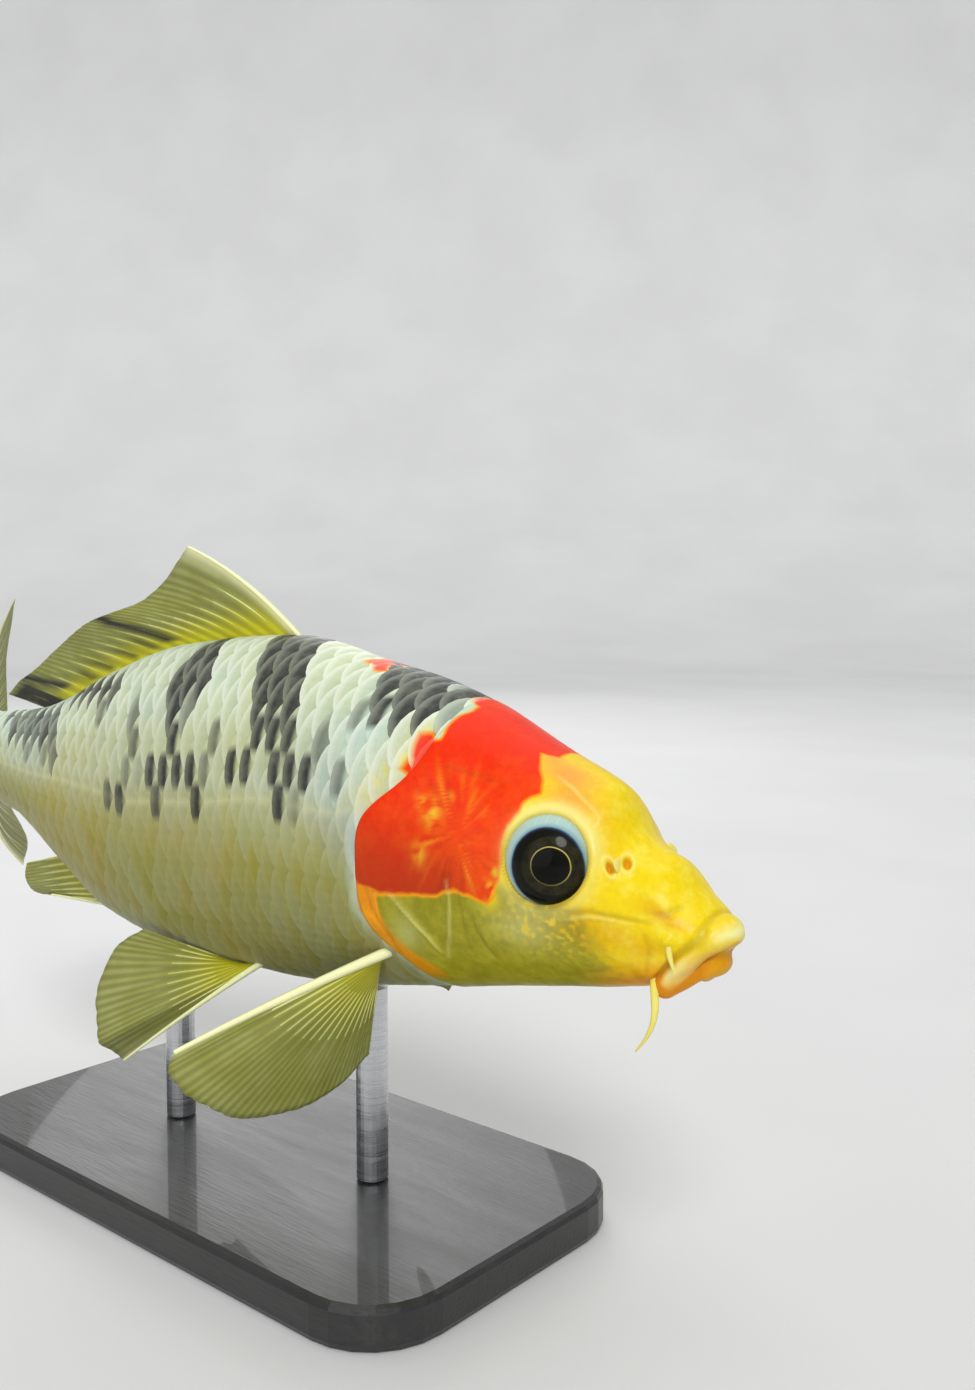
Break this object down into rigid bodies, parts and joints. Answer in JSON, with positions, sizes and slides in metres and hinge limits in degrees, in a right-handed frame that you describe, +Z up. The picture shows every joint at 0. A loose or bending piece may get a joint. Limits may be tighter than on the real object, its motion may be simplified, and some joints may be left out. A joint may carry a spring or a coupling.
{
  "type": "koi carp model",
  "caption": "Life-size model of a young koi carp swimming with its tail swept to the left, held over a rounded display base by short steel rods.",
  "frame": {"origin": "on the floor, at the centre of the box round the whole model", "axes": "+X towards the snout, +Y to the fish's left, +Z up"},
  "size_m": [0.1607, 0.0497, 0.085],
  "materials": {
    "pale_skin": "wet pearl white scaled skin with blue-black blotches",
    "red_skin": "wet bright red skin",
    "yellow_skin": "wet golden yellow skin",
    "fin": "thin rayed membrane, pale yellow-green",
    "eye": "clear glossy dome over a dark iris with a thin gold ring",
    "stand_board": "satin black",
    "stand_rod": "brushed"
  },
  "bodies": {
    "root": {"head": "yellow_skin", "lower_jaw": "yellow_skin", "upper_lip": "yellow_skin", "nasal_flap_left": "yellow_skin", "nasal_flap_right": "yellow_skin", "barbel_short_left": "yellow_skin", "barbel_short_right": "yellow_skin", "barbel_long_left": "yellow_skin", "barbel_long_right": "yellow_skin", "gill_cover_left": "red_skin", "gill_cover_right": "red_skin", "eye_left": "eye", "eye_right": "eye", "trunk": "pale_skin", "tail_stalk": "pale_skin", "dorsal_fin": "fin", "anal_fin": "fin", "caudal_fin": "fin", "pectoral_fin_left": "fin", "pectoral_fin_right": "fin", "pelvic_fin_left": "fin", "pelvic_fin_right": "fin", "stand_base": "stand_board", "stand_rod_front": "stand_rod", "stand_rod_rear": "stand_rod"}
  },
  "joints": []
}
